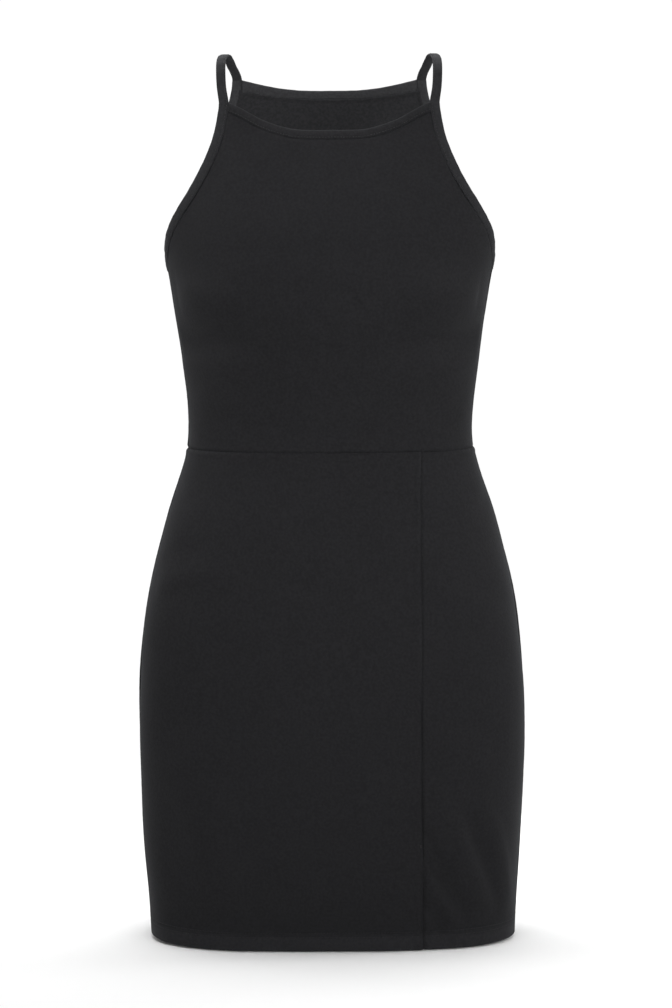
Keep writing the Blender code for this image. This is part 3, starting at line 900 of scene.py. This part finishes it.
def neck_binding(towards_back, name, node, rows, edge_height, materials, seed):
    """Strip folded over the neck edge, between the two straps."""
    top_step, seam_step = (ARMHOLE_END, ARMHOLE_END - 1) if towards_back else (0, 1)
    ends = []
    for step, lift in ((top_step, 0.0), (seam_step, SEAM_GAP)):
        angle, height = armhole_inner(np.array(float(step)), STRIP_WIDTH + SEAM_GAP)
        ends.append((math.pi - angle if towards_back else angle, height + lift))
    share = np.linspace(1, -1, NECK_STRIP_STEPS + 1)
    lines = []
    for height, end in ((edge_height, ends[0]), (edge_height - NECK_STRIP_DEPTH, ends[1])):
        angle, rise = neck_line(rows, height, end, share)
        lines.append(on_form(math.pi - angle if towards_back else angle, rise))
    return folded_strip(name, node, lines[0], lines[1], -1 if towards_back else 1, materials, seed)


def at_places(places, run, values):
    """Values of a line at places along its run."""
    return np.stack([np.interp(places, run, values[:, k]) for k in range(3)], axis=-1)


def stitch_row(bm, line, out, pitch, size):
    """Sewn stitches along a line, each a small bead of thread that lies on the cloth."""
    run = lengths_along(line, 0)
    places = np.arange(pitch / 2, run[-1], pitch)
    centres = at_places(places, run, line)
    back = at_places(places - pitch / 4, run, line)
    ahead = at_places(places + pitch / 4, run, line)
    facing = unit(at_places(places, run, out))
    length, width, rise = size
    for centre, forward, up in zip(centres, unit(ahead - back), facing):
        aside = np.cross(up, forward)
        matrix = Matrix(np.column_stack([forward * length / 2, aside * width / 2, up * rise / 2,
                                         centre]).tolist() + [[0, 0, 0, 1]])
        bmesh.ops.create_icosphere(bm, subdivisions=1, radius=1.0, matrix=matrix)


def hem_stitches(name, points, out, thread, tacked):
    """Two stitched lines above a skirt panel's hem, and the bar tack over its slit's top."""
    bm = bmesh.new()
    first_hem_row = len(points) - len(HEM_RISES)
    for rise in HEM_STITCH_RISES:
        row = first_hem_row + HEM_RISES.index(rise)
        stitch_row(bm, points[row], out[row], PLAIN_PITCH, PLAIN_STITCH)
    if tacked:
        column = points[:, BAR_TACK_COLUMN]
        tack = (column[:, 2] < BAR_TACK_TOP) & (column[:, 2] > BAR_TACK_END)
        stitch_row(bm, column[tack], out[tack, BAR_TACK_COLUMN], TACK_PITCH, TACK_STITCH)
    return link(name, bm, thread)


def mixed(nodes, links, value, low, high):
    """Colour that goes from low to high with a value."""
    mix = nodes.new("ShaderNodeMix")
    mix.data_type = "RGBA"
    mix.inputs["A"].default_value = low
    mix.inputs["B"].default_value = high
    links.new(value, mix.inputs["Factor"])
    return mix.outputs["Result"]


def noise(nodes, links, coordinates, scale, detail):
    """Soft random value over a surface."""
    texture = nodes.new("ShaderNodeTexNoise")
    texture.inputs["Scale"].default_value = scale
    texture.inputs["Detail"].default_value = detail
    links.new(coordinates, texture.inputs["Vector"])
    return texture.outputs["Fac"]


def reckon(nodes, links, operation, *values):
    """One step of arithmetic."""
    node = nodes.new("ShaderNodeMath")
    node.operation = operation
    for socket, value in zip(node.inputs, values):
        if isinstance(value, (int, float)):
            socket.default_value = value
        else:
            links.new(value, socket)
    return node.outputs["Value"]


def new_material(name):
    """A material, with its nodes, its links and its shader."""
    material = bpy.data.materials.new(name)
    material.use_nodes = True
    nodes = material.node_tree.nodes
    return material, nodes, material.node_tree.links, nodes["Principled BSDF"]


def knit_relief(nodes, links, nap, wale, course):
    """Wales and courses in the cloth's own measure, under a short nap."""
    cloth = nodes.new("ShaderNodeUVMap")
    cloth.uv_map = "cloth"
    parts = nodes.new("ShaderNodeSeparateXYZ")
    links.new(cloth.outputs["UV"], parts.inputs["Vector"])
    wale_turn = reckon(nodes, links, "MULTIPLY", parts.outputs["X"], math.pi / wale)
    wale_arc = reckon(nodes, links, "ABSOLUTE", reckon(nodes, links, "SINE", wale_turn))
    slant = reckon(nodes, links, "MULTIPLY", wale_arc, LOOP_SLANT)
    course_turn = reckon(nodes, links, "MULTIPLY_ADD", parts.outputs["Y"],
                         2 * math.pi / course, slant)
    course_arc = reckon(nodes, links, "SINE", course_turn)
    loops = reckon(nodes, links, "MULTIPLY_ADD", course_arc, COURSE_RISE,
                   reckon(nodes, links, "MULTIPLY", wale_arc, WALE_RISE))
    height = reckon(nodes, links, "ADD", reckon(nodes, links, "MULTIPLY", nap, NAP_RISE), loops)
    bump = nodes.new("ShaderNodeBump")
    bump.inputs["Strength"].default_value = BUMP_STRENGTH
    bump.inputs["Distance"].default_value = BUMP_HEIGHT
    links.new(height, bump.inputs["Height"])
    return bump.outputs["Normal"]


def speckled(nodes, links, place, dark, light):
    """Colour of a knit, between dark and light by its grain and a slow mottling."""
    grain = noise(nodes, links, place, *GRAIN)
    mottle = noise(nodes, links, place, *MOTTLE)
    speckle = reckon(nodes, links, "ADD", reckon(nodes, links, "MULTIPLY", grain, GRAIN_SHARE),
                     reckon(nodes, links, "MULTIPLY", mottle, MOTTLE_SHARE))
    ramp = nodes.new("ShaderNodeMapRange")
    ramp.inputs["From Min"].default_value = SPECKLE_DARK
    ramp.inputs["From Max"].default_value = SPECKLE_LIGHT
    links.new(speckle, ramp.inputs["Value"])
    return mixed(nodes, links, ramp.outputs["Result"], dark, light)


def painted_hem_bounce_light(nodes, links, place, colour):
    """Colour painted paler over the turned-up hem: painted light, bounced up from the floor."""
    rise = nodes.new("ShaderNodeSeparateXYZ")
    links.new(place, rise.inputs["Vector"])
    hem = nodes.new("ShaderNodeMapRange")
    hem.interpolation_type = "SMOOTHSTEP"
    hem.inputs["From Min"].default_value = HEM_HEIGHT + HEM_TURN_UP
    hem.inputs["From Max"].default_value = HEM_HEIGHT + HEM_TURN_UP / 2
    hem.inputs["To Min"].default_value = 1.0
    hem.inputs["To Max"].default_value = HEM_PAINTED_BOUNCE_LIGHT
    links.new(rise.outputs["Z"], hem.inputs["Value"])
    tone = nodes.new("ShaderNodeVectorMath")
    tone.operation = "SCALE"
    links.new(colour, tone.inputs["Vector"])
    links.new(hem.outputs["Result"], tone.inputs["Scale"])
    return tone.outputs["Vector"]


def knit_material(knit):
    """Fine matt knit with a short nap and a faint sheen."""
    material, nodes, links, shader = new_material(knit.name)
    shader.inputs["Metallic"].default_value = 0.0
    shader.inputs["Specular IOR Level"].default_value = KNIT_GLOSS
    shader.inputs["Sheen Weight"].default_value = knit.sheen
    shader.inputs["Sheen Roughness"].default_value = SHEEN_ROUGHNESS
    shader.inputs["Sheen Tint"].default_value = SHEEN_TINT
    place = nodes.new("ShaderNodeTexCoord").outputs["Object"]
    nap = noise(nodes, links, place, *NAP)
    links.new(knit_relief(nodes, links, nap, knit.wale, knit.course), shader.inputs["Normal"])
    colour = speckled(nodes, links, place, knit.dark, knit.light)
    # base colour painted paler over the hem band, as painted light bounced up from the floor
    links.new(painted_hem_bounce_light(nodes, links, place, colour), shader.inputs["Base Color"])
    rough = reckon(nodes, links, "MULTIPLY_ADD", nap, NAP_ROUGHENING, NAP_ROUGHNESS)
    links.new(rough, shader.inputs["Roughness"])
    return material


def thread_material():
    """Sewing thread in the cloth's colour, a little smoother than the knit."""
    material, nodes, links, shader = new_material("black_thread")
    shader.inputs["Specular IOR Level"].default_value = THREAD_GLOSS
    shader.inputs["Sheen Weight"].default_value = THREAD_SHEEN
    place = nodes.new("ShaderNodeTexCoord").outputs["Object"]
    twist = noise(nodes, links, place, *THREAD_TWIST)
    links.new(mixed(nodes, links, twist, THREAD_DARK, THREAD_LIGHT), shader.inputs["Base Color"])
    rough = reckon(nodes, links, "MULTIPLY_ADD", twist, THREAD_ROUGHENING, THREAD_ROUGHNESS)
    links.new(rough, shader.inputs["Roughness"])
    return material


def floor_material():
    """Pale matt floor with a very slight unevenness."""
    material, nodes, links, shader = new_material("pale_floor")
    shader.inputs["Roughness"].default_value = FLOOR_ROUGHNESS
    place = nodes.new("ShaderNodeTexCoord").outputs["Object"]
    clouds = noise(nodes, links, place, *FLOOR_CLOUDS)
    darker = tuple(part * FLOOR_UNEVENNESS for part in FLOOR_COLOUR[:3]) + (1,)
    links.new(mixed(nodes, links, clouds, darker, FLOOR_COLOUR), shader.inputs["Base Color"])
    return material


def soft_box(name, place, target, width, height, power, spread):
    """Area light turned towards a point, with its spread in degrees."""
    data = bpy.data.lights.new(name, "AREA")
    data.shape = "RECTANGLE"
    data.size, data.size_y = width, height
    data.energy = power
    data.spread = math.radians(spread)
    light = bpy.data.objects.new(name, data)
    light.location = place
    light.rotation_euler = (Vector(target) - Vector(place)).to_track_quat("-Z", "Y").to_euler()
    bpy.context.scene.collection.objects.link(light)


def studio_air():
    """White surroundings, which show bright but light the dress only a little."""
    world = bpy.data.worlds.new("studio_air")
    bpy.context.scene.world = world
    world.use_nodes = True
    nodes, links = world.node_tree.nodes, world.node_tree.links
    seen = nodes.new("ShaderNodeLightPath").outputs["Is Camera Ray"]
    strength = reckon(nodes, links, "MULTIPLY_ADD", seen, AIR_SHOWN - AIR_LIGHT, AIR_LIGHT)
    nodes["Background"].inputs["Color"].default_value = (1, 1, 1, 1)
    links.new(strength, nodes["Background"].inputs["Strength"])


def studio_floor():
    """Round pale floor just below the hem."""
    bm = bmesh.new()
    bmesh.ops.create_circle(bm, cap_ends=True, segments=FLOOR_EDGES, radius=FLOOR_RADIUS,
                            matrix=Matrix.Translation((0, 0, HEM_HEIGHT - FLOOR_BELOW_HEM)))
    mesh = bpy.data.meshes.new("studio_floor")
    bm.to_mesh(mesh)
    bm.free()
    mesh.materials.append(floor_material())
    floor = bpy.data.objects.new("studio_floor", mesh)
    bpy.context.scene.collection.objects.link(floor)


def camera():
    """Camera at the photograph's angle."""
    data = bpy.data.cameras.new("camera")
    data.sensor_fit = "VERTICAL"
    data.sensor_height = SENSOR_HEIGHT
    data.lens = CAMERA_LENS
    viewer = bpy.data.objects.new("camera", data)
    viewer.location = CAMERA_PLACE
    viewer.rotation_euler = (CAMERA_TILT, CAMERA_LEAN, 0)
    bpy.context.scene.collection.objects.link(viewer)
    bpy.context.scene.camera = viewer


def studio():
    """White air, pale floor, soft lights and the camera."""
    bpy.context.scene.view_settings.view_transform = "Standard"
    studio_air()
    studio_floor()
    for box in SOFT_BOXES:
        soft_box(*box)
    camera()


def bodice(cloth):
    """Front and back above the waist seam, each hung from its bindings."""
    panels = (
        ("bodice_front", False, FRONT_NECK, FRONT_NECK_HEIGHT, BODICE_FRONT_CREASES, 10),
        ("bodice_back", True, BACK_NECK, BACK_NECK_HEIGHT, BODICE_BACK_CREASES, 20),
    )
    for node, towards_back, neck_rows, neck_height, creases, seed in panels:
        piece, points = bodice_panel(node + "_cloth", node, towards_back, neck_rows, neck_height,
                                     creases, cloth, seed)


def skirt(cloth, thread):
    """Three panels below the waist seam, each hung from the bodice.

    Each has its first and last edge, and the ridge of the allowance beside each of them.
    """
    panels = (
        ("skirt_front", right_side, main_front_edge, False, SKIRT_FRONT_CREASES,
         FRONT_RIDGES, 30),
        ("skirt_side_front", side_front_edge, left_side, False, SIDE_FRONT_CREASES,
         SIDE_FRONT_RIDGES, 40),
        ("skirt_back", left_side, right_side, True, SKIRT_BACK_CREASES, BACK_RIDGES, 50),
    )
    for node, first, last, towards_back, creases, ridges, seed in panels:
        piece, points, out, whole = skirt_panel(node + "_cloth", node, first, last, towards_back,
                                                creases, ridges, cloth, seed)
        stitches = hem_stitches(node + "_stitches", points, out, thread, node == "skirt_front")


def bindings(strip_cloth, strap_cloth, thread):
    """Folded strips at the neck and armholes, with their stitched lines."""
    strips = (
        neck_binding(False, "neck_binding_front_strip", "neck_binding_front", FRONT_NECK,
                     FRONT_NECK_HEIGHT, strip_cloth, 60),
        neck_binding(True, "neck_binding_back_strip", "neck_binding_back", BACK_NECK,
                     BACK_NECK_HEIGHT, strip_cloth, 61),
        armhole_strap(1, "armhole_strap_left_strip", "armhole_strap_left", strap_cloth, 62),
        armhole_strap(-1, "armhole_strap_right_strip", "armhole_strap_right", strap_cloth, 63),
    )
    for strip, line, out in strips:
        bm = bmesh.new()
        stitch_row(bm, line, out, PLAIN_PITCH, PLAIN_STITCH)
        stitches = link(strip.name.replace("_strip", "_stitches"), bm, thread)


def dress():
    """All pieces of cloth, with the sewing on them."""
    cloth = [knit_material(knit) for knit in PANEL_KNITS]
    strip_cloth = [knit_material(knit) for knit in STRIP_KNITS]
    # straps take a knit painted lighter, and the strips' inner side, also painted lighter
    strap_cloth = [knit_material(STRAP_KNIT_PAINTED_LIGHT), strip_cloth[1]]
    thread = thread_material()
    bodice(cloth)
    skirt(cloth, thread)
    bindings(strip_cloth, strap_cloth, thread)


studio()
dress()
